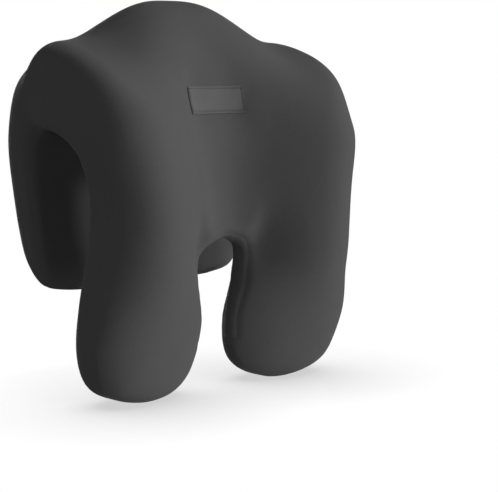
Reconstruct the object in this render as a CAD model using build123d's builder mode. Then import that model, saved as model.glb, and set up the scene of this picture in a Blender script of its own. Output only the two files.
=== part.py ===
"""Chair headrest attachment: a moulded foam neck and head cushion that saddles a chair's back.

Frame: +X to the right of someone facing the front, the front faces -Y, +Z is up.
Origin: middle of the channel's ceiling, where the top edge of the chair back bears.
"""
from build123d import *
import os

os.makedirs("parts", exist_ok=True)

# ---- driving dimensions, millimetres -----------------------------------------------------
HALF_WIDTH = 118          # centre plane to either side
FRONT_DEPTH = 89          # channel centre to the fullest part of the front
REAR_DEPTH = 76           # channel centre to the flap's outer face
WING_HEIGHT = 63          # crown height at the two ridges
DOME_HEIGHT = 92          # crown height in the middle
LOBE_DROP = 194           # how far the neck lobes hang below the channel's ceiling
FLAP_DROP = 128           # how far the rear flap hangs
CHANNEL_HALF_GAP = 32     # half the gap that takes the chair back
CHANNEL_ARCH = 30         # height of the channel's arched ceiling
NOTCH_TOP = 81            # depth of the arch between the lobes
NOTCH_HALF_WIDTH = 22     # the arch at its widest
SLOT_HALF_WIDTH = 16      # the slot between the lobes
SLOT_DEPTH = 148          # how far down the slot is narrowest
VALLEY_DEPTH = 34         # head valley, below the ridges
RIDGE_X = 84              # centre plane to the ridges' crests

COVER = 1.2               # knit cover thickness
LINER = 0.5               # tricot liner thickness
SLACK = 0.3               # air between neighbouring layers
LINER_INSET = COVER + SLACK
FOAM_INSET = LINER_INSET + LINER + SLACK
LAYER_MIDDLE = COVER + SLACK / 2    # between cover and liner, where panels are parted

# ---- zip on the flap's outer face ----
ZIP_Z = -50               # height of the zip
TAPE_HALF_LENGTH = 70
COIL_HALF_LENGTH = 64
CHAIN_GAP = 0.9           # between the two coil rows, where the slider's neck passes
TAPE_EDGE = 11.0          # zip's centre line to the tape's outer edge
TAPE = 0.6                # tape thickness
COIL_WIDTH = 2.6
COIL = 2.0                # coil thickness
MOUTH = 5.4               # zip's centre line to the cover's folded edge
RELIEF = 1.8              # how far foam and liner are pushed in behind the zip
SLIDER_START = -51        # slider's centre with the zip closed
SLIDER_LENGTH = 12
SLIDER_HALF_WIDTH = 4.4
PLATE = 1.1               # slider's plates
PULL_BAR_RADIUS = 0.7
PULL_LENGTH = 24

LABEL_SIZE = (52, 19)
LABEL_Z = 19
LABEL = 0.5               # label thickness
STITCH = 0.35             # how far stitching stands proud
REAR_PANEL_MARGIN = 11    # flap's rim to the seam of its outer panel
REAR_PANEL_TOP = -4       # height of that panel's upper seam
FAR = 400                 # reaches past the whole cushion


def crown_outline(inset):
    """Right half of the crown seen from the front, dome top to side; returns the last line."""
    crest = Spline(
        (0, DOME_HEIGHT - inset),
        (34, DOME_HEIGHT - 8 - inset),
        (60, WING_HEIGHT + 7 - inset),
        (86, WING_HEIGHT - 1 - inset),
        (HALF_WIDTH - 9 - inset, WING_HEIGHT - 13 - inset),
        (HALF_WIDTH - inset, WING_HEIGHT - 45),
        tangents=[(1, 0), (0, -1)],
    )
    return crest


def notch_outline(inset, start):
    """Right half of the slot and arch between the lobes, from start up to the centre."""
    Spline(
        start,
        (NOTCH_HALF_WIDTH + inset, -NOTCH_TOP - 22),
        (0, -NOTCH_TOP + inset),
        tangents=[(0, 1), (-1, 0)],
    )


def flap_outline(inset):
    """Right half of the rear flap below the crown, from its side to the middle of its hem."""
    hem = Spline(
        (HALF_WIDTH - inset, -30),
        (HALF_WIDTH - 12 - inset, -86 + 0.4 * inset),
        (84 - inset, -FLAP_DROP + 13 + inset),
        (44, -FLAP_DROP + inset),
        tangents=[(0, -1), (-1, 0)],
    )
    Line(hem @ 1, (0, -FLAP_DROP + inset))


def channel_outline(grow):
    """The chair-back channel seen along X: arched ceiling, straight rear, leaning front."""
    gap = CHANNEL_HALF_GAP + grow
    rear_wall = Line((gap, -FAR), (gap, -CHANNEL_ARCH))
    arch = Spline(
        rear_wall @ 1,
        (0, grow),
        (-gap, -CHANNEL_ARCH),
        tangents=[(0, 1), (0, -1)],
        tangent_scalars=[0.9, 0.9],
    )
    straight = Line(arch @ 1, (-gap, -80))
    lean = Spline(
        straight @ 1,
        (-15 - grow, -135),
        (-4 - grow, -200),
        (-grow, -FAR),
        tangents=[(0, -1), (0, -1)],
    )
    Line(lean @ 1, rear_wall @ 0)


def valley_outline(inset):
    """Right half of the front seen from above: head valley, ridge, rounded corner, side."""
    crest = Spline(
        (0, -FRONT_DEPTH + VALLEY_DEPTH + inset),
        (30, -FRONT_DEPTH + 0.8 * VALLEY_DEPTH + inset),
        (RIDGE_X - 22, -FRONT_DEPTH + 4 + inset),
        (RIDGE_X, -FRONT_DEPTH - 4 + inset),
        (HALF_WIDTH - 7 - inset, -FRONT_DEPTH + 12 + inset),
        (HALF_WIDTH - inset, -FRONT_DEPTH + 42 + inset),
        tangents=[(1, 0), (0, 1)],
    )
    Polyline(crest @ 1, (HALF_WIDTH - inset, FAR), (0, FAR))


def front_and_flap(inset):
    """Front half and rear half seen from the front, each drawn and run right through."""
    with BuildPart() as halves:
        # front: crown, straight sides, two lobes and the notch
        with BuildSketch(Plane.XZ):
            with BuildLine():
                crest = crown_outline(inset)
                side = Line(crest @ 1, (HALF_WIDTH - inset, -136))
                lobe = Spline(
                    side @ 1,
                    (HALF_WIDTH - 12 - inset, -178),
                    (72, -LOBE_DROP + inset),
                    (36 + inset, -LOBE_DROP + 14 + inset),
                    (SLOT_HALF_WIDTH + inset, -SLOT_DEPTH),
                    tangents=[(0, -1), (0, 1)],
                )
                notch_outline(inset, lobe @ 1)
                mirror(about=Plane.YZ)
            make_face()
        extrude(amount=FAR)
        # rear: the same crown over the flap's rounded hem
        with BuildSketch(Plane.XZ):
            with BuildLine():
                crest = crown_outline(inset)
                Line(crest @ 1, (HALF_WIDTH - inset, -30))
                flap_outline(inset)
                mirror(about=Plane.YZ)
            make_face()
        extrude(amount=-FAR)
    return halves.part


def saddle(inset):
    """The whole cushion as one solid, its skin moved inwards by inset."""
    with BuildPart() as body:
        # side profile: flap face, crown, belly and the front leg that leans back under it
        with BuildSketch(Plane.YZ):
            with BuildLine():
                flap_face = Line((REAR_DEPTH - inset, -FAR), (REAR_DEPTH - inset, -2))
                front = Spline(
                    flap_face @ 1,
                    (REAR_DEPTH - 7 - inset, 46),
                    (44, DOME_HEIGHT - 3 - inset),
                    (5, DOME_HEIGHT + 14 - inset),
                    (-32, DOME_HEIGHT - 5 - inset),
                    (-60 + inset, 42),
                    (-82 + inset, 4),
                    (-FRONT_DEPTH + inset, -42),
                    (-84 + inset, -80),
                    (-74 + inset, -118),
                    (-65 + inset, -155),
                    (-60 + inset, -LOBE_DROP - 20),
                    tangents=[(0, 1), (0.1, -1)],
                )
                Polyline(front @ 1, (-60 + inset, -FAR), flap_face @ 0)
            make_face()
        extrude(amount=HALF_WIDTH + 20, both=True)
        add(front_and_flap(inset), mode=Mode.INTERSECT)
        # seen from above: head valley between two ridges, rounded front corners
        with BuildSketch(Plane.XY):
            with BuildLine():
                valley_outline(inset)
                mirror(about=Plane.YZ)
            make_face()
        extrude(amount=FAR, both=True, mode=Mode.INTERSECT)
        add(channel_zone(inset), mode=Mode.SUBTRACT)
        if inset > COVER:
            # foam and liner are pushed in behind the zip and its slider
            with Locations((0, REAR_DEPTH - inset, ZIP_Z)):
                Box(
                    2 * (TAPE_HALF_LENGTH + inset),
                    2 * RELIEF,
                    2 * (TAPE_EDGE + inset),
                    mode=Mode.SUBTRACT,
                )
    return body.part


def channel_zone(grow):
    """The channel the chair back goes into, grown by grow, right through the width."""
    with BuildPart() as zone:
        with BuildSketch(Plane.YZ):
            with BuildLine():
                channel_outline(grow)
            make_face()
        extrude(amount=FAR, both=True)
    return zone.part


def notch_zone(grow):
    """The slot and arch between the lobes, grown by grow, through the front leg only."""
    with BuildPart() as zone:
        with BuildSketch(Plane.XZ):
            with BuildLine():
                notch_outline(grow, (SLOT_HALF_WIDTH + grow, -SLOT_DEPTH))
                mirror(about=Plane.YZ)
                Line((-SLOT_HALF_WIDTH - grow, -SLOT_DEPTH), (SLOT_HALF_WIDTH + grow, -SLOT_DEPTH))
            make_face()
        extrude(amount=FAR)
        add(channel_zone(LAYER_MIDDLE), mode=Mode.SUBTRACT)
    return zone.part


def rear_panel_zone():
    """The flat of the flap's outer face, inside its rounded rim."""
    with BuildPart() as zone:
        with BuildSketch(Plane.XZ.offset(-REAR_DEPTH + 4)):
            with BuildLine():
                edge = Line((0, REAR_PANEL_TOP), (HALF_WIDTH - REAR_PANEL_MARGIN, REAR_PANEL_TOP))
                Line(edge @ 1, (HALF_WIDTH - REAR_PANEL_MARGIN, -30))
                flap_outline(REAR_PANEL_MARGIN)
                mirror(about=Plane.YZ)
            make_face()
        extrude(amount=-20)
    return zone.part


# ---- inside: foam and liner --------------------------------------------------------------
with BuildPart() as foam_core:
    add(saddle(FOAM_INSET))
foam_core.part.label = "foam_core"
export_step(foam_core.part, "parts/foam_core.step")

with BuildPart() as inner_liner:
    add(saddle(LINER_INSET))
    add(saddle(LINER_INSET + LINER), mode=Mode.SUBTRACT)
inner_liner.part.label = "inner_liner"
export_step(inner_liner.part, "parts/inner_liner.step")

# ---- knit cover, cut into its sewn panels ------------------------------------------------
with BuildPart() as whole_cover:
    add(saddle(0))
    add(saddle(COVER), mode=Mode.SUBTRACT)

with BuildPart() as channel_lining:
    add(whole_cover.part)
    add(channel_zone(LAYER_MIDDLE), mode=Mode.INTERSECT)
channel_lining.part.label = "channel_lining"
export_step(channel_lining.part, "parts/channel_lining.step")

with BuildPart() as notch_gusset:
    add(whole_cover.part)
    add(notch_zone(LAYER_MIDDLE), mode=Mode.INTERSECT)
notch_gusset.part.label = "notch_gusset"
export_step(notch_gusset.part, "parts/notch_gusset.step")

with BuildPart() as cover_shell:
    add(whole_cover.part)
    add(channel_zone(LAYER_MIDDLE), mode=Mode.SUBTRACT)
    add(notch_zone(LAYER_MIDDLE), mode=Mode.SUBTRACT)
    add(rear_panel_zone(), mode=Mode.SUBTRACT)
cover_shell.part.label = "cover_shell"
export_step(cover_shell.part, "parts/cover_shell.step")

with BuildPart() as rear_panels:
    add(whole_cover.part)
    add(rear_panel_zone(), mode=Mode.INTERSECT)
    with Locations((0, REAR_DEPTH, ZIP_Z)):
        Box(2 * TAPE_HALF_LENGTH - 4, 8, 2 * MOUTH, mode=Mode.SUBTRACT)

with BuildPart() as rear_panel_upper:
    add(rear_panels.part)
    split(bisect_by=Plane.XY.offset(ZIP_Z), keep=Keep.TOP)
rear_panel_upper.part.label = "rear_panel_upper"
export_step(rear_panel_upper.part, "parts/rear_panel_upper.step")

with BuildPart() as rear_panel_lower:
    add(rear_panels.part)
    split(bisect_by=Plane.XY.offset(ZIP_Z), keep=Keep.BOTTOM)
rear_panel_lower.part.label = "rear_panel_lower"
export_step(rear_panel_lower.part, "parts/rear_panel_lower.step")

# ---- zip: tapes sewn behind the cover's folded edges, coils on the tapes -----------------
COVER_INSIDE_Y = REAR_DEPTH - COVER
TAPE_WIDTH = TAPE_EDGE - CHAIN_GAP / 2
COIL_TOP_Y = COVER_INSIDE_Y + COIL
CHAIN_HALF_WIDTH = CHAIN_GAP / 2 + COIL_WIDTH

for side, word in ((1, "upper"), (-1, "lower")):
    with BuildPart() as zip_tape:
        with Locations((0, COVER_INSIDE_Y - TAPE / 2, ZIP_Z + side * (CHAIN_GAP + TAPE_WIDTH) / 2)):
            Box(2 * TAPE_HALF_LENGTH, TAPE, TAPE_WIDTH)
    zip_tape.part.label = "zip_tape_" + word
    export_step(zip_tape.part, "parts/zip_tape_" + word + ".step")

    with BuildPart() as zip_coil:
        coil_z = ZIP_Z + side * (CHAIN_GAP + COIL_WIDTH) / 2
        with Locations((0, COVER_INSIDE_Y + COIL / 2, coil_z)):
            Box(2 * COIL_HALF_LENGTH, COIL, COIL_WIDTH)
        fillet(zip_coil.edges().filter_by(Axis.X).group_by(Axis.Y)[-1], 0.9)
    zip_coil.part.label = "zip_coil_" + word
    export_step(zip_coil.part, "parts/zip_coil_" + word + ".step")

with BuildPart() as zip_bottom_stop:
    with Locations((COIL_HALF_LENGTH + 1.5, COVER_INSIDE_Y + 1.3, ZIP_Z)):
        Box(3, 2.6, 2 * CHAIN_HALF_WIDTH + 1.2)
    fillet(zip_bottom_stop.edges().group_by(Axis.Y)[-1], 0.6)
zip_bottom_stop.part.label = "zip_bottom_stop"
export_step(zip_bottom_stop.part, "parts/zip_bottom_stop.step")

with BuildPart() as zip_top_stops:
    for side in (1, -1):
        stop_z = ZIP_Z + side * (CHAIN_HALF_WIDTH - 1.2)
        with Locations((-COIL_HALF_LENGTH - 1.2, COVER_INSIDE_Y + 1.3, stop_z)):
            Box(2.4, 2.6, 2.8)
    fillet(zip_top_stops.edges().group_by(Axis.Y)[-1], 0.6)
zip_top_stops.part.label = "zip_top_stops"
export_step(zip_top_stops.part, "parts/zip_top_stops.step")

with BuildPart() as zip_end_tabs:
    for side in (1, -1):
        with Locations((side * (TAPE_HALF_LENGTH + 4), REAR_DEPTH + 0.3, ZIP_Z)):
            Box(10, 0.6, 2 * MOUTH + 6)
    fillet(zip_end_tabs.edges().filter_by(Axis.Y), 2)
zip_end_tabs.part.label = "zip_end_tabs"
export_step(zip_end_tabs.part, "parts/zip_end_tabs.step")

STITCH_PITCH = 4.2
STITCH_LENGTH = 3.2
with BuildPart() as zip_stitching:
    with Locations((0, REAR_DEPTH + STITCH / 2, ZIP_Z)):
        with GridLocations(STITCH_PITCH, 1, 30, 1):
            for side in (1, -1):
                with Locations((0, 0, side * (MOUTH + 1.8))):
                    Box(STITCH_LENGTH, STITCH, 0.6)
zip_stitching.part.label = "zip_stitching"
export_step(zip_stitching.part, "parts/zip_stitching.step")

# ---- zip slider and its pull -------------------------------------------------------------
UPPER_PLATE_Y = COIL_TOP_Y + 0.3
LOWER_PLATE_Y = COVER_INSIDE_Y - TAPE - 0.3
PULL_AXIS_Y = UPPER_PLATE_Y + PLATE + PULL_BAR_RADIUS + 1.1
PULL_EYE_RADIUS = PULL_BAR_RADIUS + 0.1

with BuildPart() as zip_slider:
    for near, thickness in ((UPPER_PLATE_Y, PLATE), (LOWER_PLATE_Y - PLATE + 0.1, PLATE - 0.1)):
        with BuildSketch(Plane.XZ.offset(-near)):
            with Locations((SLIDER_START, ZIP_Z)):
                RectangleRounded(SLIDER_LENGTH, 2 * SLIDER_HALF_WIDTH, 2.5)
        extrude(amount=-thickness)
    # flanges that hug the coils
    flange_height = UPPER_PLATE_Y - COVER_INSIDE_Y - 0.6
    for side in (1, -1):
        flange_z = ZIP_Z + side * (SLIDER_HALF_WIDTH + CHAIN_HALF_WIDTH + 0.3) / 2
        with Locations((SLIDER_START, UPPER_PLATE_Y - flange_height / 2, flange_z)):
            Box(SLIDER_LENGTH - 5, flange_height, SLIDER_HALF_WIDTH - CHAIN_HALF_WIDTH - 0.3)
    # neck between the two coil rows
    neck_height = UPPER_PLATE_Y - LOWER_PLATE_Y
    with Locations((SLIDER_START - 3, LOWER_PLATE_Y + neck_height / 2, ZIP_Z)):
        Box(3, neck_height, CHAIN_GAP - 0.3)
    # two ears and the bar the pull hangs on
    for side in (1, -1):
        with BuildSketch(Plane.XY.offset(ZIP_Z + side * 2.6 - 0.5)):
            with Locations((SLIDER_START, (UPPER_PLATE_Y + PULL_AXIS_Y) / 2)):
                Rectangle(2.8, PULL_AXIS_Y - UPPER_PLATE_Y)
            with Locations((SLIDER_START, PULL_AXIS_Y)):
                Circle(1.4)
        extrude(amount=1)
    with BuildSketch(Plane.XY.offset(ZIP_Z - 2.6)):
        with Locations((SLIDER_START, PULL_AXIS_Y)):
            Circle(PULL_BAR_RADIUS)
    extrude(amount=5.2)
zip_slider.part.label = "zip_slider"
export_step(zip_slider.part, "parts/zip_slider.step")

with BuildPart() as zip_pull:
    with BuildSketch(Plane.XY.offset(ZIP_Z - 1.8)):
        with Locations((SLIDER_START, PULL_AXIS_Y)):
            Circle(1.6)
        with Locations((SLIDER_START + 2.5, PULL_AXIS_Y)):
            Rectangle(5, 1)
        with Locations((SLIDER_START, PULL_AXIS_Y)):
            Circle(PULL_EYE_RADIUS, mode=Mode.SUBTRACT)
    extrude(amount=3.6)
    with BuildSketch(Plane.XZ.offset(-PULL_AXIS_Y + 0.5)):
        with Locations((SLIDER_START + 4 + (PULL_LENGTH - 4) / 2, ZIP_Z)):
            RectangleRounded(PULL_LENGTH - 4, 6.4, 2)
        with Locations((SLIDER_START + PULL_LENGTH - 5, ZIP_Z)):
            SlotOverall(5, 2.2, mode=Mode.SUBTRACT)
    extrude(amount=-1)
zip_pull.part.label = "zip_pull"
export_step(zip_pull.part, "parts/zip_pull.step")

# ---- labels ------------------------------------------------------------------------------
def valley_strip(inner, outer, width, height):
    """A strip lying on the valley's surface, between two heights above it."""
    with BuildPart() as strip:
        with BuildSketch(Plane.XY.offset(LABEL_Z - height / 2)):
            with BuildLine():
                valley_outline(-outer)
                mirror(about=Plane.YZ)
            make_face()
            with BuildLine():
                valley_outline(-inner)
                mirror(about=Plane.YZ)
            make_face(mode=Mode.SUBTRACT)
            Rectangle(width, FAR, mode=Mode.INTERSECT)
        extrude(amount=height)
    return strip.part


with BuildPart() as front_label:
    add(valley_strip(0, LABEL, *LABEL_SIZE))
front_label.part.label = "front_label"
export_step(front_label.part, "parts/front_label.step")

with BuildPart() as label_stitching:
    add(valley_strip(LABEL, LABEL + STITCH, LABEL_SIZE[0] - 3, LABEL_SIZE[1] - 3))
    with Locations((0, -FRONT_DEPTH, LABEL_Z)):
        Box(LABEL_SIZE[0] - 4.2, 2 * FRONT_DEPTH, LABEL_SIZE[1] - 4.2, mode=Mode.SUBTRACT)
label_stitching.part.label = "label_stitching"
export_step(label_stitching.part, "parts/label_stitching.step")

with BuildPart() as care_label:
    with Locations((48, REAR_DEPTH + 0.2, ZIP_Z - MOUTH - 18)):
        Box(20, 0.3, 28)
    fillet(care_label.edges().filter_by(Axis.Y).group_by(Axis.Z)[0], 1.5)
care_label.part.label = "care_label"
export_step(care_label.part, "parts/care_label.step")
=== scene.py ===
"""Looks of the chair headrest attachment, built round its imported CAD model.

The cushion's skin is one smooth implicit surface, meshed once, then cut along the cover's seams
into its sewn panels. Shapes are worked out in millimetres and written in metres.
"""
import math

import bpy
import numpy as np
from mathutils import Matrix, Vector
from mathutils.kdtree import KDTree


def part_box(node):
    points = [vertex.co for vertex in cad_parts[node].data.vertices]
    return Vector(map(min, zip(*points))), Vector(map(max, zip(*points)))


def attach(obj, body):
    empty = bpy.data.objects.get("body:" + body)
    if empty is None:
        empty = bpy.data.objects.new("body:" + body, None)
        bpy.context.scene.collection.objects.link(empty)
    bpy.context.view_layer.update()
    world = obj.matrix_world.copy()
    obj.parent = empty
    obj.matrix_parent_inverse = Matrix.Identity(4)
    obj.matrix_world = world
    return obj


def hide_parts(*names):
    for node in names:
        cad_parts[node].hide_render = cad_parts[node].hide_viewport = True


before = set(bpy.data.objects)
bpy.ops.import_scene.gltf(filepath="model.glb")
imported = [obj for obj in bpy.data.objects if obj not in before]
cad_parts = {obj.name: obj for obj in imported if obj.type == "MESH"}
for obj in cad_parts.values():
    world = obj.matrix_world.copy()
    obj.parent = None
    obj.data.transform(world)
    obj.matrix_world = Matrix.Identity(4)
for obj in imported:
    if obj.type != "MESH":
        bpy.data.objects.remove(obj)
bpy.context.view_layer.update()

MM = 0.001
CUSHION = "cushion"


def corners_mm(node):
    """Lowest and highest corner of a CAD node, in millimetres."""
    low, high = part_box(node)
    return np.array(low) / MM, np.array(high) / MM


# ---- sizes, from the frame ---------------------------------------------------------------
REAR_Y = corners_mm("cover_shell")[1][1]
TAPE_LOW, TAPE_HIGH = corners_mm("zip_tape_upper")
ZIP_Z = (TAPE_LOW[2] + corners_mm("zip_tape_lower")[1][2]) / 2
COVER = REAR_Y - TAPE_HIGH[1]
LINER_INSET = COVER + 0.3
FOAM_INSET = COVER + 1.1
MOUTH_HALF_HEIGHT = 5.4
MOUTH_HALF_LENGTH = TAPE_HIGH[0] - 2
NET_STEP = 2.4

# ---- the cushion's outlines, millimetres -------------------------------------------------
# flap, crown and front pad at the ridges, seen along X: (y, z), flap hem to lobe
SIDE = [(56, -260), (60, -135), (67, -115), (71, -99), (74.5, -78), (76, -58), (76, -6),
        (64, 25), (46, 46), (14, 59), (-24, 53), (-58, 34), (-84, 1), (-90, -40), (-85, -80),
        (-72.5, -117), (-62, -155), (-61, -200), (-60, -260)]
# right half of the front pad, seen along Y: (x, z), crown to lobe to notch
FRONT = [(0, 110), (39, 103), (78, 91), (111, 73), (118, 40), (118, 0), (109, -50), (114, -100),
         (117, -140), (103, -171), (71, -182), (44, -180), (23, -167), (13, -136), (19, -105),
         (18, -84), (0, -76)]
# right half of the flap, seen along Y: (x, z), crown to hem
FLAP = [(0, 110), (39, 103), (78, 91), (111, 73), (118, 40), (112, 0), (108, -36), (104, -69),
        (99, -96), (89, -112), (70, -118), (0, -120)]
# the chair-back channel, seen along X: (y, z), front wall, ceiling, rear wall
CHANNEL = [(-32, -30), (-27, -14), (-13, -4), (7, 0), (22, -4), (31, -14), (34, -30), (35, -60),
           (35, -130), (35, -260), (-3, -260), (-7, -200), (-12, -165), (-18, -135), (-24, -108),
           (-31, -80), (-32, -55)]
# the dome in the middle of the crown
DOME_RISE = 29.2
DOME_HALF_WIDTH = 60.2
DOME_POWER = 3.06
# the head valley: its depth and half width at the head and between the lobes
VALLEY_TOP = 43.0
VALLEY_BOTTOM = 15.0
VALLEY_WIDTH = 62.8
VALLEY_WIDTH_LOW = 50.0
VALLEY_POWER = 2.15
# how far the front and rear rims are rounded: into the depth, and into the outline
BODY_ROUND = (34.5, 44.0)
CROWN_ROUND = (13.0, 18.5)
LOBE_ROUND = (19.0, 42.0)
REAR_ROUND = (34.0, 48.0)
ARCH_ROUND = (5.0, 8.0)
SLOT_ROUND = (12.0, 28.0)
RIM_POWER = 2.0
SLOT_POWER = 1.5
# the arch of the notch: its middle height, and how far its small rounding reaches
ARCH_Z = -75
ARCH_REACH = (26, 30)
SLOT_REACH = 50
# how far the channel's openings are rounded: everywhere, more on the lobes and on the flap
OPENING_ROUND = 5
LOBE_OPENING_ROUND = 14
FLAP_OPENING_ROUND = 6
FLAP_UPPER_OPENING_ROUND = 2


def smooth_step(low, high, value):
    """0 at low, 1 at high, and a soft ramp between; low may be the greater."""
    t = np.clip((value - low) / (high - low), 0, 1)
    return t * t * (3 - 2 * t)


def spline(points, per_span=8):
    """Closed Catmull-Rom curve through the points, its speed set by the square root of their spacing."""
    p = np.array(points, float)
    count = len(p)
    curve = []
    for i in range(count):
        p0, p1, p2, p3 = p[i - 1], p[i], p[(i + 1) % count], p[(i + 2) % count]
        t0 = 0.0
        t1 = t0 + np.linalg.norm(p1 - p0) ** 0.5
        t2 = t1 + np.linalg.norm(p2 - p1) ** 0.5
        t3 = t2 + np.linalg.norm(p3 - p2) ** 0.5
        t = np.linspace(t1, t2, per_span, endpoint=False)[:, None]
        a1 = (t1 - t) / (t1 - t0) * p0 + (t - t0) / (t1 - t0) * p1
        a2 = (t2 - t) / (t2 - t1) * p1 + (t - t1) / (t2 - t1) * p2
        a3 = (t3 - t) / (t3 - t2) * p2 + (t - t2) / (t3 - t2) * p3
        b1 = (t2 - t) / (t2 - t0) * a1 + (t - t0) / (t2 - t0) * a2
        b2 = (t3 - t) / (t3 - t1) * a2 + (t - t1) / (t3 - t1) * a3
        curve.append((t2 - t) / (t2 - t1) * b1 + (t - t1) / (t2 - t1) * b2)
    return np.vstack(curve)


def both_halves(points):
    """A right half outline and its mirror image, as one closed outline."""
    return list(points) + [(-x, z) for x, z in points[::-1] if abs(x) > 1e-9]


class Outline:
    """Signed distance to a closed curve, negative inside, looked up on a fine grid."""

    STEP = 1.5

    def __init__(self, points, low=(-170, -290), high=(170, 170)):
        self.low = np.array(low, float)
        axes = [np.arange(a, b, self.STEP) for a, b in zip(low, high)]
        grid = np.stack(np.meshgrid(*axes, indexing="ij"), -1).reshape(-1, 2)
        curve = spline(points)
        nearest = np.full(len(grid), 1e12)
        inside = np.zeros(len(grid), bool)
        for start, end in zip(curve, np.roll(curve, -1, 0)):
            run = end - start
            t = np.clip(((grid - start) @ run) / (run @ run), 0, 1)
            away = grid - start - t[:, None] * run
            nearest = np.minimum(nearest, (away * away).sum(1))
            straddles = (start[1] > grid[:, 1]) != (end[1] > grid[:, 1])
            crossing = run[0] * (grid[:, 1] - start[1]) / (run[1] or 1e-12) + start[0]
            inside ^= straddles & (grid[:, 0] < crossing)
        distance = np.sqrt(nearest) * np.where(inside, -1, 1)
        self.grid = distance.reshape(len(axes[0]), len(axes[1]))

    def __call__(self, a, b):
        u = np.clip((a - self.low[0]) / self.STEP, 0, self.grid.shape[0] - 1.001)
        v = np.clip((b - self.low[1]) / self.STEP, 0, self.grid.shape[1] - 1.001)
        i, j = u.astype(int), v.astype(int)
        fu, fv = u - i, v - j
        g = self.grid
        near = g[i, j] * (1 - fv) + g[i, j + 1] * fv
        far = g[i + 1, j] * (1 - fv) + g[i + 1, j + 1] * fv
        return near * (1 - fu) + far * fu


side_outline = Outline(SIDE)
front_outline = Outline(both_halves(FRONT))
flap_outline = Outline(both_halves(FLAP))
channel_outline = Outline(CHANNEL)


def round_corner(a, b, radius_a, radius_b, power):
    """The inside of both a and b, their shared edge a quarter ellipse, flatter at a lower power."""
    u, v = np.maximum(a / radius_a + 1, 0), np.maximum(b / radius_b + 1, 0)
    reach = np.maximum(u**power + v**power, 1e-9)
    rounded = (reach ** (1 / power) - 1) * (radius_a * u**power + radius_b * v**power) / reach
    return np.where((u > 0) & (v > 0), rounded, np.maximum(a, b))


def round_outside(a, b, radius):
    """The inside of both a and b, their shared edge rounded to a quarter circle."""
    u, v = np.maximum(a + radius, 0), np.maximum(b + radius, 0)
    return np.minimum(np.maximum(a, b), -radius) + np.sqrt(u * u + v * v)


def mix(a, b, share):
    return a * (1 - share) + b * share


def cushion_field(x, y, z):
    """Below 0 inside the cushion, above 0 outside, in millimetres near the skin."""
    depth = mix(VALLEY_BOTTOM, VALLEY_TOP, smooth_step(-155, -30, z))
    width = mix(VALLEY_WIDTH_LOW, VALLEY_WIDTH, smooth_step(-110, 0, z))
    valley = depth * np.exp(-(np.abs(x) / width) ** VALLEY_POWER) * smooth_step(19, -41, y)
    dome = DOME_RISE * np.exp(-(np.abs(x) / DOME_HALF_WIDTH) ** DOME_POWER)
    profile = side_outline(y - valley, z - dome * smooth_step(0, 60, z))
    outline = mix(front_outline(x, z), flap_outline(x, z), smooth_step(-2, 24, y))
    lobe = smooth_step(-70, -150, z)
    crown = smooth_step(0, 50, z)
    rear = smooth_step(4, 34, y)
    slot = np.exp(-((x / SLOT_REACH) ** 6)) * smooth_step(-85, -115, z) * (1 - rear)
    arch = np.exp(-((x / ARCH_REACH[0]) ** 4 + ((z - ARCH_Z) / ARCH_REACH[1]) ** 4)) * (1 - rear)
    radii = []
    for radius, top, low, back, beside, above in zip(
        BODY_ROUND, CROWN_ROUND, LOBE_ROUND, REAR_ROUND, SLOT_ROUND, ARCH_ROUND
    ):
        for other, share in ((top, crown), (low, lobe), (back, rear), (beside, slot), (above, arch)):
            radius = mix(radius, other, share)
        radii.append(radius)
    body = round_corner(profile, outline, *radii, mix(RIM_POWER, SLOT_POWER, slot))
    on_lobe = smooth_step(-80, -140, z) * smooth_step(14, -6, y)
    on_flap = FLAP_OPENING_ROUND + FLAP_UPPER_OPENING_ROUND * smooth_step(-105, -75, z)
    opening_radius = OPENING_ROUND + LOBE_OPENING_ROUND * on_lobe
    opening_radius += smooth_step(-10, 30, y) * on_flap
    return round_outside(body, -channel_outline(y, z), opening_radius)


def gradient(field, points, reach=0.8):
    """The field's slope at each point."""
    slopes = []
    for axis in range(3):
        shift = np.zeros(3)
        shift[axis] = reach
        ahead, behind = (points + shift).T, (points - shift).T
        slopes.append((field(*ahead) - field(*behind)) / (2 * reach))
    return np.stack(slopes, 1)


def settle(field, points, rounds=3):
    """Moves points onto the field's zero surface, along its slope."""
    for _ in range(rounds):
        slope = gradient(field, points)
        points = points - slope * (field(*points.T) / np.maximum((slope**2).sum(1), 0.05))[:, None]
    return points


def unit(vectors):
    return vectors / np.maximum(np.linalg.norm(vectors, axis=1), 1e-9)[:, None]


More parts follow.
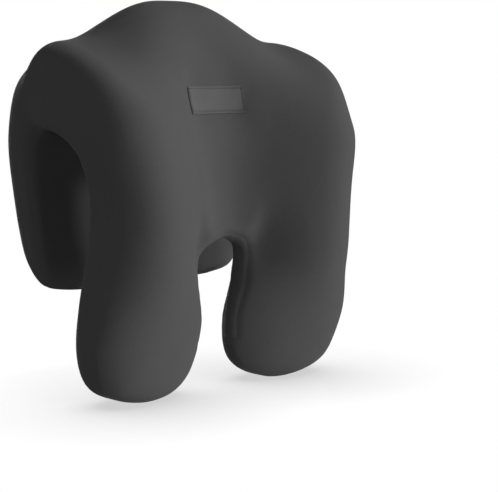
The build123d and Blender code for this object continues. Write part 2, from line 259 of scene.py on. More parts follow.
# ---- meshing -----------------------------------------------------------------------------
def surface_net(field, step, low=(-130, -110, -215), high=(130, 90, 112)):
    """A mesh of quads on the field's zero surface: points in millimetres and faces."""
    axes = [np.arange(a, b + step, step) for a, b in zip(low, high)]
    value = field(*np.meshgrid(*axes, indexing="ij"))
    cells = tuple(n - 1 for n in value.shape)
    total = np.zeros(cells + (3,))
    crossings = np.zeros(cells)
    ends = [(i, j, k) for i in (0, 1) for j in (0, 1) for k in (0, 1)]

    def corner(offset):
        return value[tuple(slice(o, o + n) for o, n in zip(offset, cells))]

    for start in ends:
        for axis in range(3):
            if start[axis]:
                continue
            end = tuple(s + (d == axis) for d, s in enumerate(start))
            a, b = corner(start), corner(end)
            crosses = (a < 0) != (b < 0)
            t = np.where(crosses, a / np.where(crosses, a - b, 1), 0)
            place = np.broadcast_to(np.array(start, float), cells + (3,)).copy()
            place[..., axis] += t
            total += place * crosses[..., None]
            crossings += crosses
    index = np.full(cells, -1)
    found = crossings > 0
    index[found] = np.arange(found.sum())
    base = np.stack(np.nonzero(found), 1)
    points = (base + total[found] / crossings[found][:, None]) * step + np.array(low, float)
    faces = []
    for axis in range(3):
        a = value[tuple(slice(None, -1) if d == axis else slice(1, -1) for d in range(3))]
        b = value[tuple(slice(1, None) if d == axis else slice(1, -1) for d in range(3))]
        crosses = (a < 0) != (b < 0)
        at = np.stack(np.nonzero(crosses), 1)
        outward = (a < 0)[crosses]
        u, v = [(1, 2), (2, 0), (0, 1)][axis]
        ring = []
        for du, dv in ((0, 0), (1, 0), (1, 1), (0, 1)):
            cell = at.copy()
            cell[:, u] += du
            cell[:, v] += dv
            ring.append(index[tuple(cell.T)])
        quad = np.stack(ring, 1)
        faces.append(np.where(outward[:, None], quad, quad[:, ::-1]))
    return points, np.vstack(faces)


def even_out(field, points, faces, rounds=4):
    """Spreads the mesh's points evenly over the surface without leaving it."""
    edges = np.vstack([faces[:, [0, 1]], faces[:, [1, 2]], faces[:, [2, 3]], faces[:, [3, 0]]])
    edges = np.vstack([edges, edges[:, ::-1]])
    degree = np.bincount(edges[:, 0], minlength=len(points))
    for _ in range(rounds):
        middle = np.stack(
            [np.bincount(edges[:, 0], points[edges[:, 1], d], len(points)) for d in range(3)], 1
        )
        middle /= degree[:, None]
        points = settle(field, points + 0.5 * (middle - points), 1)
    return settle(field, points, 2)


class Skin:
    """The cushion's surface mesh, which seams are cut into."""

    def __init__(self, field, step):
        self.field = field
        points, faces = surface_net(field, step)
        self.points = even_out(field, points, faces)
        self.faces = [tuple(int(v) for v in face) for face in faces]
        self.normals = unit(gradient(field, self.points))
        self.seams = {}

    def add_seam(self, name, seam):
        """Slides the nearer end of every edge that crosses the seam onto it, and cuts quads there."""
        value = seam(*self.points.T)
        slope = gradient(seam, self.points)
        slope -= self.normals * (slope * self.normals).sum(1)[:, None]
        reach = np.abs(value) / np.maximum(np.linalg.norm(slope, axis=1), 0.2)
        edges = {tuple(sorted((f[i], f[i - 1]))) for f in self.faces for i in range(len(f))}
        a, b = np.array(sorted(edges)).T
        cross = (value[a] < 0) != (value[b] < 0)
        a, b = a[cross], b[cross]
        chosen = np.unique(np.where(reach[a] < reach[b], a, b))
        moved = self.points[chosen]
        for _ in range(4):
            slope = gradient(seam, moved)
            normal = unit(gradient(self.field, moved))
            slope -= normal * (slope * normal).sum(1)[:, None]
            step = seam(*moved.T) / np.maximum((slope * slope).sum(1), 0.1)
            moved = settle(self.field, moved - slope * step[:, None], 1)
        self.points[chosen] = moved
        self.normals = unit(gradient(self.field, self.points))
        for other, (other_seam, other_value) in self.seams.items():
            on_it = other_value == 0
            other_value[chosen] = other_seam(*self.points[chosen].T)
            other_value[on_it] = 0
        value = seam(*self.points.T)
        value[chosen] = 0
        self.seams[name] = (seam, value)
        split = []
        for face in self.faces:
            sign = [np.sign(value[v]) for v in face]
            if len(face) == 4 and 1 in sign and -1 in sign:
                turn = 0 if sign[0] == 0 and sign[2] == 0 else 1
                a, b, c, d = face[turn:] + face[:turn]
                split += [(a, b, c), (a, c, d)]
            else:
                split.append(face)
        self.faces = split

    def side(self, name):
        """Per face: is it on the seam's inner side, where the seam function is below 0?"""
        value = self.seams[name][1]
        return np.array([sum(value[v] for v in face) < 0 for face in self.faces])


def mesh_normals(points, faces):
    """Area-weighted normal at each point of a mesh of triangles and quads."""
    corners = np.array([face if len(face) == 4 else face + face[-1:] for face in faces])
    p = points[corners]
    across = np.cross(p[:, 2] - p[:, 0], p[:, 3] - p[:, 1])
    total = np.zeros_like(points)
    for column in corners.T:
        for axis in range(3):
            total[:, axis] += np.bincount(column, across[:, axis], len(points))
    return unit(total)


def new_piece(name, points_mm, faces, material, slot, body=CUSHION, stands_for=()):
    """A mesh object from points in millimetres, riding on a body."""
    mesh = bpy.data.meshes.new(name)
    mesh.from_pydata((np.asarray(points_mm) * MM).tolist(), [], [tuple(map(int, f)) for f in faces])
    mesh.validate()
    mesh.shade_smooth()
    mesh.set_sharp_from_angle(angle=math.radians(50))
    mesh.materials.append(material)
    piece = bpy.data.objects.new(name, mesh)
    bpy.context.scene.collection.objects.link(piece)
    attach(piece, body)
    if stands_for:
        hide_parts(*stands_for)
    return piece


def sheet_shell(points, faces, normals, thickness):
    """A closed sheet: the given outside, the same faces moved inwards, and a rim round its edge."""
    used = sorted({v for face in faces for v in face})
    place = {v: i for i, v in enumerate(used)}
    outer = points[used]
    inner = outer - normals[used] * thickness
    count = len(used)
    top = [tuple(place[v] for v in face) for face in faces]
    bottom = [tuple(v + count for v in face[::-1]) for face in top]
    directed = {(f[i - 1], f[i]) for f in top for i in range(len(f))}
    rim = [(b, a, a + count, b + count) for a, b in sorted(directed) if (b, a) not in directed]
    return np.vstack([outer, inner]), top + bottom + rim


def grid_sheet(place, columns, rows, thickness):
    """A closed sheet over a grid: place(u, v) gives its outside for u and v from -1 to 1."""
    u, v = np.meshgrid(np.linspace(-1, 1, columns), np.linspace(-1, 1, rows), indexing="ij")
    points = place(u.ravel(), v.ravel())
    index = np.arange(columns * rows).reshape(columns, rows)
    quads = np.stack([index[:-1, :-1], index[1:, :-1], index[1:, 1:], index[:-1, 1:]], -1)
    faces = [tuple(map(int, face)) for face in quads.reshape(-1, 4)]
    return sheet_shell(points, faces, mesh_normals(points, faces), thickness)


def tube(path, radius, sides=6):
    """A closed round tube along a path of points."""
    path = np.asarray(path, float)
    run = unit(np.gradient(path, axis=0))
    aside = np.cross(run[0], (0.3, 0.5, 0.81))
    rings = []
    for point, along in zip(path, run):
        aside = aside - along * (aside @ along)
        aside /= np.linalg.norm(aside)
        third = np.cross(along, aside)
        turn = np.arange(sides) * 2 * math.pi / sides
        rings.append(point + radius * (np.cos(turn)[:, None] * aside + np.sin(turn)[:, None] * third))
    points = np.vstack(rings)
    faces = []
    for ring in range(len(path) - 1):
        for i in range(sides):
            a, b = ring * sides + i, ring * sides + (i + 1) % sides
            faces.append((a, b, b + sides, a + sides))
    faces.append(tuple(range(sides))[::-1])
    faces.append(tuple(len(points) - sides + i for i in range(sides)))
    return points, faces


def joined(parts):
    """Several meshes as one."""
    points, faces, count = [], [], 0
    for part_points, part_faces in parts:
        points.append(part_points)
        faces += [tuple(v + count for v in face) for face in part_faces]
        count += len(part_points)
    return np.vstack(points), faces


def stitch(middle, along, up, length, radius=0.24):
    """One thread stitch: it comes up, lies on the cloth and goes down again."""
    middle, along, up = (np.asarray(v, float) for v in (middle, along, up))
    heights = (-0.5, 0.05, 0.2, 0.23, 0.2, 0.05, -0.5)
    reaches = (-0.46, -0.44, -0.3, 0, 0.3, 0.44, 0.46)
    return tube([middle + along * r * length + up * h for r, h in zip(reaches, heights)], radius)


def rounded_sheet(u, v, half_width, half_height, corner):
    """A square grid spread over a rectangle with round corners."""
    x, z = u * half_width, v * half_height
    over_x = np.maximum(np.abs(x) - half_width + corner, 0)
    over_z = np.maximum(np.abs(z) - half_height + corner, 0)
    reach = np.maximum(np.hypot(over_x, over_z), 1e-9)
    scale = np.maximum(over_x, over_z) / reach
    x = np.sign(x) * (np.abs(x) - over_x * (1 - scale))
    z = np.sign(z) * (np.abs(z) - over_z * (1 - scale))
    return x, z


# ---- materials ---------------------------------------------------------------------------
class Shader:
    """A material built from nodes; sockets are passed straight in as values."""

    def __init__(self, name, **settings):
        self.material = bpy.data.materials.new(name)
        self.material.use_nodes = True
        self.tree = self.material.node_tree
        self.surface = self.tree.nodes["Principled BSDF"]
        self.set(self.surface, settings)

    def set(self, node, values):
        for key, value in values.items():
            socket = node.inputs[key.replace("_", " ") if isinstance(key, str) else key]
            if isinstance(value, bpy.types.NodeSocket):
                self.tree.links.new(value, socket)
            else:
                socket.default_value = value

    def node(self, kind, values, **settings):
        node = self.tree.nodes.new("ShaderNode" + kind)
        for key, value in settings.items():
            setattr(node, key, value)
        self.set(node, values)
        return node

    def math(self, operation, *values):
        return self.node("Math", dict(enumerate(values)), operation=operation).outputs[0]

    def place(self):
        return self.node("TexCoord", {}).outputs["Object"]

    def noise(self, scale, detail=2.0, roughness=0.5):
        values = {"Vector": self.place(), "Scale": scale, "Detail": detail, "Roughness": roughness}
        return self.node("TexNoise", values).outputs["Fac"]

    def spread(self, value, low, high):
        """Carries a value between 0 and 1 to between low and high."""
        return self.math("MULTIPLY_ADD", value, high - low, low)

    def tint(self, colour, factor):
        """A colour multiplied by a factor."""
        values = {"Vector": colour, "Scale": factor}
        return self.node("VectorMath", values, operation="SCALE").outputs[0]

    def bump(self, height, depth, strength=1.0):
        values = {"Height": height, "Distance": depth, "Strength": strength}
        self.set(self.surface, {"Normal": self.node("Bump", values).outputs[0]})


def knit_height(shader, u, v, wale, course):
    """Stockinette: columns of V-shaped loops; u and v in metres."""
    column = shader.math("FRACT", shader.math("DIVIDE", u, wale))
    s = shader.math("MULTIPLY", shader.math("ABSOLUTE", shader.math("SUBTRACT", column, 0.5)), 2.0)
    row = shader.math("SUBTRACT", shader.math("DIVIDE", v, course), shader.math("MULTIPLY", s, 0.9))
    loop = shader.math("SINE", shader.math("MULTIPLY", row, 2 * math.pi))
    legs = shader.math("SINE", shader.math("MULTIPLY", s, math.pi))
    return shader.math("MULTIPLY", shader.math("MULTIPLY_ADD", loop, 0.3, 0.7), legs)


def three_way(shader, pattern):
    """A flat pattern laid on from the side, front and top, whichever the surface faces."""
    coordinates = shader.node("TexCoord", {})
    x, y, z = shader.node("SeparateXYZ", {0: coordinates.outputs["Object"]}).outputs
    facing = shader.node("SeparateXYZ", {0: coordinates.outputs["Normal"]}).outputs
    weights = [shader.math("POWER", shader.math("ABSOLUTE", n), 6.0) for n in facing]
    total = shader.math("ADD", shader.math("ADD", *weights[:2]), weights[2])
    sheets = [pattern(shader, y, z), pattern(shader, x, z), pattern(shader, x, y)]
    parts = [shader.math("MULTIPLY", sheet, weight) for sheet, weight in zip(sheets, weights)]
    summed = shader.math("ADD", shader.math("ADD", *parts[:2]), parts[2])
    return shader.math("DIVIDE", summed, total)


def knit_material(name, colour, wale=0.0008, course=0.0006, depth=0.00012):
    shader = Shader(name, Roughness=0.92, Sheen_Weight=0.12, Sheen_Roughness=0.6, Specular_IOR_Level=0.2)
    loops = three_way(shader, lambda s, u, v: knit_height(s, u, v, wale, course))
    fibres = shader.noise(1800.0, 3.0, 0.6)
    cloud = shader.noise(22.0, 3.0)
    melange = shader.noise(420.0, 2.0)
    shade = shader.math("MULTIPLY", shader.spread(loops, 0.93, 1.07), shader.spread(cloud, 0.95, 1.05))
    shade = shader.math("MULTIPLY", shade, shader.spread(melange, 0.94, 1.06))
    shader.set(shader.surface, {"Base_Color": shader.tint(colour, shade)})
    shader.set(shader.surface, {"Roughness": shader.spread(fibres, 0.84, 1.0)})
    shader.bump(shader.math("ADD", loops, shader.math("MULTIPLY", fibres, 0.5)), depth, 0.6)
    return shader.material


def woven_material(name, colour, thread, gloss=0.6, contrast=0.12):
    """Plain weave: crossing threads, each a little lighter or darker than the next."""
    shader = Shader(name, Roughness=gloss, Sheen_Weight=0.1, Specular_IOR_Level=0.3)

    def weave(s, u, v):
        across = s.math("SINE", s.math("MULTIPLY", u, 2 * math.pi / thread))
        along = s.math("SINE", s.math("MULTIPLY", v, 2 * math.pi / thread))
        return s.math("MULTIPLY_ADD", s.math("MULTIPLY", across, along), 0.5, 0.5)

    threads = three_way(shader, weave)
    slub = shader.noise(300.0, 3.0)
    shade = shader.spread(threads, 1 - contrast, 1 + contrast)
    shade = shader.math("MULTIPLY", shade, shader.spread(slub, 0.92, 1.08))
    shader.set(shader.surface, {"Base_Color": shader.tint(colour, shade)})
    shader.set(shader.surface, {"Roughness": shader.spread(slub, gloss - 0.1, gloss + 0.1)})
    shader.bump(threads, 0.00008)
    return shader.material


def thread_material(name, colour):
    """Twisted polyester."""
    shader = Shader(name, Sheen_Weight=0.2, Specular_IOR_Level=0.4)
    x, y, z = shader.node("SeparateXYZ", {0: shader.place()}).outputs
    slant = shader.math("ADD", shader.math("ADD", x, y), shader.math("MULTIPLY", z, 1.7))
    twist = shader.math("SINE", shader.math("MULTIPLY", slant, 2 * math.pi / 0.0005))
    shader.set(shader.surface, {"Base_Color": shader.tint(colour, shader.spread(twist, 0.92, 1.06))})
    shader.set(shader.surface, {"Roughness": shader.spread(shader.noise(900.0), 0.45, 0.7)})
    shader.bump(twist, 0.00003)
    return shader.material


def nylon_material(name, colour):
    shader = Shader(name, Specular_IOR_Level=0.5)
    haze = shader.noise(500.0, 3.0)
    shader.set(shader.surface, {"Base_Color": shader.tint(colour, shader.spread(haze, 0.85, 1.15))})
    shader.set(shader.surface, {"Roughness": shader.spread(haze, 0.3, 0.5)})
    shader.bump(shader.noise(2500.0), 0.00001)
    return shader.material


def metal_material(name, colour):
    """Black nickel, rubbed bright along its edges."""
    shader = Shader(name, Metallic=1.0)
    edge = shader.node("NewGeometry", {}).outputs["Pointiness"]
    rubbed = shader.math("MAXIMUM", shader.spread(edge, -6.0, 7.0), 0.0)
    rubbed = shader.math("SMOOTH_MIN", 1.0, rubbed, 0.2)
    scratch = shader.noise(900.0, 4.0, 0.7)
    shade = shader.math("ADD", shader.spread(scratch, 0.9, 1.1), shader.math("MULTIPLY", rubbed, 0.5))
    shader.set(shader.surface, {"Base_Color": shader.tint(colour, shade)})
    shader.set(shader.surface, {"Roughness": shader.spread(scratch, 0.32, 0.5)})
    shader.bump(scratch, 0.000008)
    return shader.material


def foam_material(name, colour):
    """Moulded polyurethane foam: open cells under a thin skin."""
    shader = Shader(name, Roughness=0.9, Specular_IOR_Level=0.2)
    cells = shader.node("TexVoronoi", {"Vector": shader.place(), "Scale": 900.0}).outputs["Distance"]
    cloud = shader.spread(shader.noise(25.0), 0.95, 1.05)
    shade = shader.math("MULTIPLY", shader.spread(cells, 0.85, 1.05), cloud)
    shader.set(shader.surface, {"Base_Color": shader.tint(colour, shade)})
    shader.bump(cells, 0.0003)
    return shader.material


CHARCOAL = (0.087, 0.086, 0.0865)
knit = knit_material("charcoal_knit", CHARCOAL)
lining_knit = knit_material("lining_knit", tuple(0.9 * c for c in CHARCOAL))
tape_weave = woven_material("zip_tape_weave", (0.03, 0.03, 0.031), 0.0007)
label_weave = woven_material("label_weave", (0.093, 0.093, 0.093), 0.0005, 0.5, 0.06)
care_weave = woven_material("care_satin", (0.55, 0.54, 0.52), 0.0004, 0.4, 0.04)
tricot = woven_material("liner_tricot", (0.6, 0.58, 0.54), 0.0011, 0.8, 0.2)
thread = thread_material("charcoal_thread", (0.05, 0.05, 0.051))
label_thread = thread_material("label_thread", (0.09, 0.09, 0.09))
nylon = nylon_material("coil_nylon", (0.02, 0.02, 0.021))
metal = metal_material("black_nickel", (0.13, 0.128, 0.127))
foam = foam_material("polyurethane_foam", (0.72, 0.66, 0.48))

# ---- skin: swelled by cloth pressure between its seams -----------------------------------
LINING_OUTSET = 3.0
GUSSET_DEPTH = 3.5
REAR_PANEL_MARGIN = 11.0
REAR_PANEL_TOP = -4.0
FLAT_FROM_Y = REAR_Y - 4
START_INSET = 0.8
SWELL_LIMIT = 1.5
SWELL_STEP = 6.0
SWELL_FRAMES = 20
TUCK = 0.9
TUCK_WIDTH = 1.7


def skin_field(x, y, z):
    """The cushion before its cloth swells."""
    return cushion_field(x, y, z) + START_INSET


def lining_seam(x, y, z):
    """Below 0 on the channel's lining, just inside the rounded edge of its openings."""
    return channel_outline(y, z) - LINING_OUTSET


def gusset_seam(x, y, z):
    """Below 0 on the strip that lines the slot and arch between the lobes."""
    depth_in = -front_outline(x, z) - GUSSET_DEPTH
    nearby = round_outside(np.abs(x) - 45, -150 - z, 4)
    return round_outside(round_outside(depth_in, nearby, 4), y, 4)


def rear_panel_seam(x, y, z):
    """Below 0 inside the flap's outer panel."""
    inside = round_outside(flap_outline(x, z) + REAR_PANEL_MARGIN, z - REAR_PANEL_TOP, 8)
    return np.maximum(inside, FLAT_FROM_Y - 20 - y)


def zip_seam(x, y, z):
    """Below 0 under the zip's line, which runs only across the flap's outer face."""
    return z - ZIP_Z + 20 * np.maximum(FLAT_FROM_Y - y, 0)


def mouth_seam(x, y, z):
    """Below 0 in the opening over the zip."""
    inside = round_outside(np.abs(x) - MOUTH_HALF_LENGTH, np.abs(z - ZIP_Z) - MOUTH_HALF_HEIGHT, 2)
    return np.maximum(inside, FLAT_FROM_Y - y)


SEAMS = {
    "lining": lining_seam,
    "gusset": gusset_seam,
    "rear_panel": rear_panel_seam,
    "zip": zip_seam,
    "mouth": mouth_seam,
}


def seam_distance(points):
    """Roughly how far each point is from the nearest seam, each seam only where it is sewn."""
    value = {name: seam(*points.T) for name, seam in SEAMS.items()}
    stray = {"gusset": -value["lining"], "zip": value["rear_panel"]}
    away = [np.abs(v) + 4 * np.maximum(stray.get(name, 0), 0) for name, v in value.items()]
    return np.min(away, axis=0)


def swell():
    """Cloth pressure on a coarse copy of the skin: its points and how far each one moved."""
    points, faces = surface_net(skin_field, SWELL_STEP)
    points = even_out(skin_field, points, faces)
    mesh = bpy.data.meshes.new("swell")
    mesh.from_pydata((points * MM).tolist(), [], faces.tolist())
    cloth_object = bpy.data.objects.new("swell", mesh)
    scene = bpy.context.scene
    scene.collection.objects.link(cloth_object)
    held = cloth_object.vertex_groups.new(name="held")
    held.add(np.nonzero(seam_distance(points) < 0.6 * SWELL_STEP)[0].tolist(), 1.0, "REPLACE")
    modifier = cloth_object.modifiers.new("cloth", "CLOTH")
    settings = modifier.settings
    settings.quality = 5
    settings.mass = 0.3
    settings.tension_stiffness = settings.compression_stiffness = 20
    settings.bending_stiffness = 2
    settings.use_pressure = True
    settings.uniform_pressure_force = 4
    settings.vertex_group_mass = "held"
    settings.effector_weights.gravity = 0
    modifier.point_cache.frame_start, modifier.point_cache.frame_end = 1, SWELL_FRAMES
    for step in range(1, SWELL_FRAMES + 1):
        scene.frame_set(step)
    moved = cloth_object.evaluated_get(bpy.context.evaluated_depsgraph_get()).data
    after = np.array([v.co for v in moved.vertices]) / MM
    bpy.data.objects.remove(cloth_object)
    scene.frame_set(1)
    move = after - points
    length = np.linalg.norm(move, axis=1)[:, None]
    move *= np.tanh(length / SWELL_LIMIT) * SWELL_LIMIT / np.maximum(length, 1e-9)
    return points, move


swell_points, swell_moves = swell()
swell_tree = KDTree(len(swell_points))
for index, point in enumerate(swell_points):
    swell_tree.insert(point, index)
swell_tree.balance()


def swelled(points):
    """Points of the skin, moved as the cloth near them moved."""
    result = np.array(points)
    for i, point in enumerate(points):
        near = swell_tree.find_n(point, 8)
        weights = np.array([math.exp(-((distance / SWELL_STEP) ** 2)) for _, _, distance in near])
        move = weights @ swell_moves[[found for _, found, _ in near]] / weights.sum()
        result[i] = point + move
    return result


skin = Skin(skin_field, NET_STEP)
for seam_name, seam_function in SEAMS.items():
    skin.add_seam(seam_name, seam_function)
outside = swelled(skin.points)
near_seam = np.exp(-((seam_distance(skin.points) / TUCK_WIDTH) ** 2))
outside -= skin.normals * (TUCK * near_seam)[:, None]
outside_normals = mesh_normals(outside, skin.faces)

inside_of = {name: skin.side(name) for name in SEAMS}
lining = inside_of["lining"]
gusset = inside_of["gusset"] & ~lining
rear_panel = inside_of["rear_panel"]
mouth = inside_of["mouth"] & rear_panel
below_zip = inside_of["zip"]
panels = {
    "cover_knit": (~lining & ~gusset & ~rear_panel, "cover_shell", knit),
    "channel_lining_knit": (lining, "channel_lining", lining_knit),
    "notch_gusset_knit": (gusset, "notch_gusset", knit),
    "rear_panel_upper_knit": (rear_panel & ~mouth & ~below_zip, "rear_panel_upper", knit),
    "rear_panel_lower_knit": (rear_panel & ~mouth & below_zip, "rear_panel_lower", knit),
}
for name, (chosen, node, material) in panels.items():
    faces = [face for face, taken in zip(skin.faces, chosen) if taken]
    shell = sheet_shell(outside, faces, outside_normals, COVER - 0.1)
    new_piece(name, *shell, material, "charcoal_knit", stands_for=[node])

# ---- liner and foam, pushed in behind the zip --------------------------------------------
RELIEF = 2.2
RELIEF_HALF_HEIGHT = 15
LINER_THICKNESS = 0.5


def inner_field(inset):
    """The cushion's inside at a depth, with a flat recess behind the zip."""

    def field(x, y, z):
        behind = round_outside(np.abs(x) - TAPE_HIGH[0] - 3, np.abs(z - ZIP_Z) - RELIEF_HALF_HEIGHT, 6)
        recess = round_outside(behind, REAR_Y - inset - RELIEF - y, 2)
        return round_outside(cushion_field(x, y, z) + inset, -recess, 2)

    return field


liner_field = inner_field(LINER_INSET + START_INSET)
liner_points, liner_faces = surface_net(liner_field, 2 * NET_STEP)
liner_points = even_out(liner_field, liner_points, liner_faces)
liner_faces = [tuple(map(int, face)) for face in liner_faces]
liner_normals = mesh_normals(liner_points, liner_faces)
liner_shell = sheet_shell(liner_points, liner_faces, liner_normals, LINER_THICKNESS)
new_piece("liner_sleeve", *liner_shell, tricot, "liner_tricot", stands_for=["inner_liner"])
foam_field = inner_field(FOAM_INSET + START_INSET)
foam_points, foam_faces = surface_net(foam_field, 2 * NET_STEP)
foam_points = even_out(foam_field, foam_points, foam_faces)
new_piece("foam_block", foam_points, foam_faces, foam, "foam", stands_for=["foam_core"])

# ---- zip ---------------------------------------------------------------------------------
def cloth_y(x, z):
    """How far back the flap's outer cloth is at each (x, z)."""
    points = np.stack([x, np.full(len(x), REAR_Y - START_INSET), z], 1)
    points = swelled(settle(skin_field, points))
    return points[:, 1] - TUCK * np.exp(-((seam_distance(points) / TUCK_WIDTH) ** 2))


COIL_PITCH = 1.25
WIRE = 0.3
CORD = 0.45
RIB_PITCH = 0.9
for word in ("upper", "lower"):
    low, high = corners_mm("zip_tape_" + word)
    middle, half = (low + high) / 2, (high - low) / 2

    def tape_place(u, v):
        ribs = 0.05 * np.cos(v * half[2] * 2 * math.pi / RIB_PITCH)
        bead = 0.12 * np.exp(-(((1 - np.abs(v)) * half[2] / 0.5) ** 2))
        x, z = -u * half[0] + middle[0], v * half[2] + middle[2]
        covered = smooth_step(MOUTH_HALF_HEIGHT - 0.5, MOUTH_HALF_HEIGHT + 1.5, np.abs(z - ZIP_Z))
        under_cloth = np.minimum(high[1], cloth_y(x, z) - COVER - 0.2)
        return np.stack([x, mix(high[1], under_cloth, covered) - 0.06 + ribs - bead, z], 1)

    tape = grid_sheet(tape_place, 40, 90, 2 * half[1] - 0.15)
    new_piece("tape_" + word, *tape, tape_weave, "zip_tape", stands_for=["zip_tape_" + word])
    low, high = corners_mm("zip_coil_" + word)
    middle, half = (low + high) / 2, (high - low) / 2
    turns = (high[0] - low[0]) / COIL_PITCH
    t = np.linspace(0, turns, int(turns * 10))
    swing = 2 * math.pi * t
    coil_z = middle[2] + (half[2] - WIRE) * np.sin(swing)
    coil_y = middle[1] + (half[1] - WIRE) * np.cos(swing)
    coil_path = np.stack([low[0] + WIRE + t * (2 * half[0] - 2 * WIRE) / turns, coil_y, coil_z], 1)
    cord = [(low[0] + 1, middle[1], middle[2]), middle, (high[0] - 1, middle[1], middle[2])]
    coil = joined([tube(coil_path, WIRE, 5), tube(cord, CORD)])
    new_piece("coil_" + word, *coil, nylon, "zip_coil", stands_for=["zip_coil_" + word])

# ---- stitches and end tabs round the zip -------------------------------------------------
OUTWARD = (0, 1, 0)
ALONG = (1, 0, 0)
STITCH_LENGTH = 3.2
STITCHES_PER_ROW = 30
STITCH_REACH = corners_mm("zip_stitching")[1][0] - STITCH_LENGTH / 2
stitches = []
for side in (1, -1):
    row_z = ZIP_Z + side * (MOUTH_HALF_HEIGHT + 1.8)
    row_x = np.linspace(-STITCH_REACH, STITCH_REACH, STITCHES_PER_ROW)
    for x, y in zip(row_x, cloth_y(row_x, np.full(STITCHES_PER_ROW, row_z))):
        stitches.append(stitch((x, y, row_z), ALONG, OUTWARD, STITCH_LENGTH))
TAB_LOW, TAB_HIGH = corners_mm("zip_end_tabs")
TAB_HALF_WIDTH = 5.0
TAB_HALF_HEIGHT = (TAB_HIGH[2] - TAB_LOW[2]) / 2
TAB_THICKNESS = 0.6
TAB_HEM = 1.4
TAB_STITCH, TAB_STITCH_ACROSS = 1.9, 1.8
tabs = []
for side in (1, -1):
    tab_x = side * (TAB_HIGH[0] - TAB_HALF_WIDTH)

    def tab_place(u, v):
        x, z = rounded_sheet(-u, v, TAB_HALF_WIDTH, TAB_HALF_HEIGHT, 2)
        edge = np.minimum(TAB_HALF_WIDTH - np.abs(x), TAB_HALF_HEIGHT - np.abs(z))
        base = cloth_y(tab_x + x, ZIP_Z + z)
        sewn = 0.25 * np.exp(-(((edge - TAB_HEM) / 0.5) ** 2))
        lift = np.maximum(base, REAR_Y - COVER + 0.2) + TAB_THICKNESS - sewn
        return np.stack([tab_x + x, lift, ZIP_Z + z], 1)

    tabs.append(grid_sheet(tab_place, 17, 27, TAB_THICKNESS))
    top = tabs[-1][0][:, 1].max()
    for z in np.arange(-6, 6.1, 2.4):
        for x in (-TAB_HALF_WIDTH + TAB_HEM, TAB_HALF_WIDTH - TAB_HEM):
            stitches.append(stitch((tab_x + x, top - 0.2, ZIP_Z + z), (0, 0, 1), OUTWARD, TAB_STITCH))
    for z in (-TAB_HALF_HEIGHT + TAB_HEM, TAB_HALF_HEIGHT - TAB_HEM):
        for x in (-2.2, 0.0, 2.2):
            stitches.append(stitch((tab_x + x, top - 0.2, ZIP_Z + z), ALONG, OUTWARD, TAB_STITCH_ACROSS))
new_piece("zip_stitches", *joined(stitches), thread, "thread", stands_for=["zip_stitching"])
new_piece("end_tabs", *joined(tabs), tape_weave, "zip_tape", stands_for=["zip_end_tabs"])

for node in ("zip_slider", "zip_pull", "zip_bottom_stop", "zip_top_stops"):
    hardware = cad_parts[node]
    hardware.data.materials.clear()
    hardware.data.materials.append(metal)
    edges = hardware.modifiers.new("edges", "BEVEL")
    edges.width = 0.15 * MM
    edges.segments = 2
    edges.limit_method = "ANGLE"

# ---- labels ------------------------------------------------------------------------------
LABEL_LOW, LABEL_HIGH = corners_mm("front_label")
LABEL_Z = (LABEL_LOW[2] + LABEL_HIGH[2]) / 2
LABEL_HALF_HEIGHT = (LABEL_HIGH[2] - LABEL_LOW[2]) / 2
LABEL_HALF_WIDTH = LABEL_HIGH[0]
LABEL_THICKNESS = 0.5
LABEL_HEM = 1.7


def on_front(x, z):
    """The cloth's points on the cushion's front at (x, z)."""
    low, high = np.full(len(x), -125.0), np.full(len(x), 0.0)
    for _ in range(30):
        middle = (low + high) / 2
        out = skin_field(x, middle, z) > 0
        low, high = np.where(out, middle, low), np.where(out, high, middle)
    return swelled(np.stack([x, low, z], 1))


def label_place(u, v):
    x, z = rounded_sheet(u, v, LABEL_HALF_WIDTH, LABEL_HALF_HEIGHT, 1.5)
    edge = np.minimum(LABEL_HALF_WIDTH - np.abs(x), LABEL_HALF_HEIGHT - np.abs(z))
    sewn = 0.3 * np.exp(-(((edge - LABEL_HEM) / 0.7) ** 2))
    points = on_front(x, z + LABEL_Z)
    normals = unit(gradient(skin_field, points))
    return points + normals * (LABEL_THICKNESS + 0.15 - sewn)[:, None]


label = grid_sheet(label_place, 61, 31, LABEL_THICKNESS)
new_piece("label_patch", *label, label_weave, "label_satin", stands_for=["front_label"])
hem = []
half_x, half_z = LABEL_HALF_WIDTH - LABEL_HEM, LABEL_HALF_HEIGHT - LABEL_HEM
hem_runs = [
    (np.arange(-half_x + 1.4, half_x, 2.85), False),
    (np.arange(-half_z + 1.4, half_z, 2.8), True),
]
reach = np.array([-0.5, 0.5])
for places, upright in hem_runs:
    for side in (1, -1):
        for place in places:
            x, z = (side * half_x, place) if upright else (place, side * half_z)
            ends = on_front(x + reach * (not upright), z + LABEL_Z + reach * upright)
            along = unit(ends[1:] - ends[:1])[0]
            up = unit(gradient(skin_field, ends[:1]))[0]
            middle = ends.mean(0) + up * (LABEL_THICKNESS - 0.1)
            hem.append(stitch(middle, along, up, 2.1, 0.2))
new_piece("label_stitches", *joined(hem), label_thread, "thread", stands_for=["label_stitching"])

CARE_LOW, CARE_HIGH = corners_mm("care_label")
care_middle, care_half = (CARE_LOW + CARE_HIGH) / 2, (CARE_HIGH - CARE_LOW) / 2


def care_place(u, v):
    x, z = rounded_sheet(-u, v, care_half[0], care_half[2], 1.0)
    x, z = x + care_middle[0], z + care_middle[2]
    hang = (1 - v) / 2
    wave = 0.5 * np.sin(u * 2.2 + hang * 3) * hang
    cloth = cloth_y(care_middle[:1], care_middle[2:])[0]
    return np.stack([x, cloth + 0.5 + 2.0 * hang**2 + wave, z], 1)


care = grid_sheet(care_place, 21, 31, 0.25)
new_piece("care_tag", *care, care_weave, "care_satin", stands_for=["care_label"])

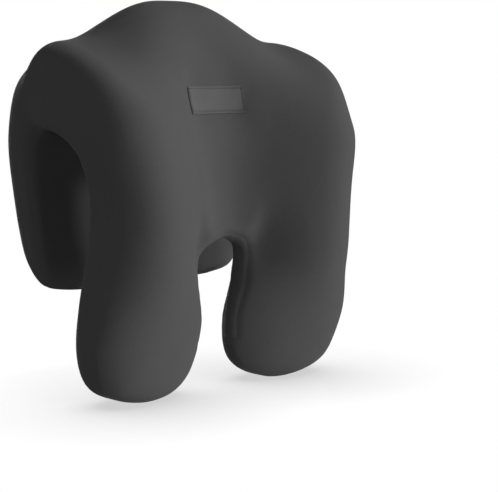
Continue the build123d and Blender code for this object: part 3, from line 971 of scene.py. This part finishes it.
# ---- floor, light, camera ----------------------------------------------------------------
FLOOR_SIZE = 12
CONTACT_SHADOW_REACH = 0.09
GLOW = 0.06
scene = bpy.context.scene
scene.view_settings.view_transform = "Standard"
floor_z = min(v.co.z for v in bpy.data.objects["cover_knit"].data.vertices)


def emission(tree, colour, strength):
    node = tree.nodes.new("ShaderNodeEmission")
    node.inputs["Color"].default_value = (*colour, 1)
    node.inputs["Strength"].default_value = strength
    return node


below = (0, 0, floor_z - 0.0005)
bpy.ops.mesh.primitive_grid_add(x_subdivisions=4, y_subdivisions=4, size=FLOOR_SIZE, location=below)
floor = bpy.context.object
floor.name = "floor"
floor_material = bpy.data.materials.new("pale_floor")
floor_material.use_nodes = True
nodes, links = floor_material.node_tree.nodes, floor_material.node_tree.links
paper = emission(floor_material.node_tree, (1, 1, 1), 1.0)
# Painted shadow: the floor glows evenly white and takes no real light or shadow, so its contact shadow
# under the cushion is painted by dimming the glow with ambient occlusion.
painted_contact_shadow = nodes.new("ShaderNodeAmbientOcclusion")
painted_contact_shadow.inputs["Distance"].default_value = CONTACT_SHADOW_REACH
painted_contact_shadow.samples = 12
lift = nodes.new("ShaderNodeMapRange")
lift.inputs["From Min"].default_value = 0.35
lift.inputs["To Min"].default_value = 0.62
links.new(painted_contact_shadow.outputs["AO"], lift.inputs["Value"])
links.new(lift.outputs["Result"], paper.inputs["Strength"])
links.new(paper.outputs[0], nodes["Material Output"].inputs["Surface"])
floor.data.materials.append(floor_material)
floor.visible_diffuse = floor.visible_glossy = floor.visible_shadow = False

world = bpy.data.worlds.new("studio")
scene.world = world
world.use_nodes = True
nodes, links = world.node_tree.nodes, world.node_tree.links
nodes.clear()
seen = emission(world.node_tree, (1, 1, 1), 1.0)
dome = emission(world.node_tree, (1, 1, 1), 1.0)
direction = nodes.new("ShaderNodeTexCoord")
height = nodes.new("ShaderNodeSeparateXYZ")
glow = nodes.new("ShaderNodeMapRange")
glow.inputs["From Min"].default_value = -1.0
glow.inputs["To Min"].default_value = 0.0
glow.inputs["To Max"].default_value = GLOW
links.new(direction.outputs["Generated"], height.inputs[0])
links.new(height.outputs[2], glow.inputs["Value"])
links.new(glow.outputs["Result"], dome.inputs["Strength"])
ray = nodes.new("ShaderNodeLightPath")
either = nodes.new("ShaderNodeMixShader")
links.new(ray.outputs["Is Camera Ray"], either.inputs[0])
links.new(dome.outputs[0], either.inputs[1])
links.new(seen.outputs[0], either.inputs[2])
output = nodes.new("ShaderNodeOutputWorld")
links.new(either.outputs[0], output.inputs["Surface"])


def soft_sun(name, azimuth, elevation, strength, spread):
    """A broad sun; azimuth 0 shines from the front, 90 from the right."""
    light = bpy.data.lights.new(name, "SUN")
    light.energy = strength
    light.angle = math.radians(spread)
    lamp = bpy.data.objects.new(name, light)
    a, e = math.radians(azimuth), math.radians(elevation)
    towards = Vector((math.sin(a) * math.cos(e), -math.cos(a) * math.cos(e), math.sin(e)))
    lamp.rotation_euler = towards.to_track_quat("Z", "Y").to_euler()
    scene.collection.objects.link(lamp)


soft_sun("key", 50, 22, 2.25, 32)
soft_sun("side", -60, 0, 0.7, 40)
soft_sun("low", 31, -26, 0.85, 10)
soft_sun("back", 150, 0, 2.0, 40)

FOCAL_PIXELS = 1564
WIDTH_PIXELS = 498
SENSOR = 36
LOOKING_DOWN, TURNED = 6.84, 43.9
camera_data = bpy.data.cameras.new("camera")
camera = bpy.data.objects.new("camera", camera_data)
scene.collection.objects.link(camera)
camera.location = (-0.7297, -0.8299, 0.0473)
camera.rotation_euler = (math.radians(90 - LOOKING_DOWN), 0, math.radians(-TURNED))
camera_data.sensor_width = SENSOR
camera_data.lens = FOCAL_PIXELS / WIDTH_PIXELS * SENSOR
camera_data.clip_start = 0.02
scene.camera = camera
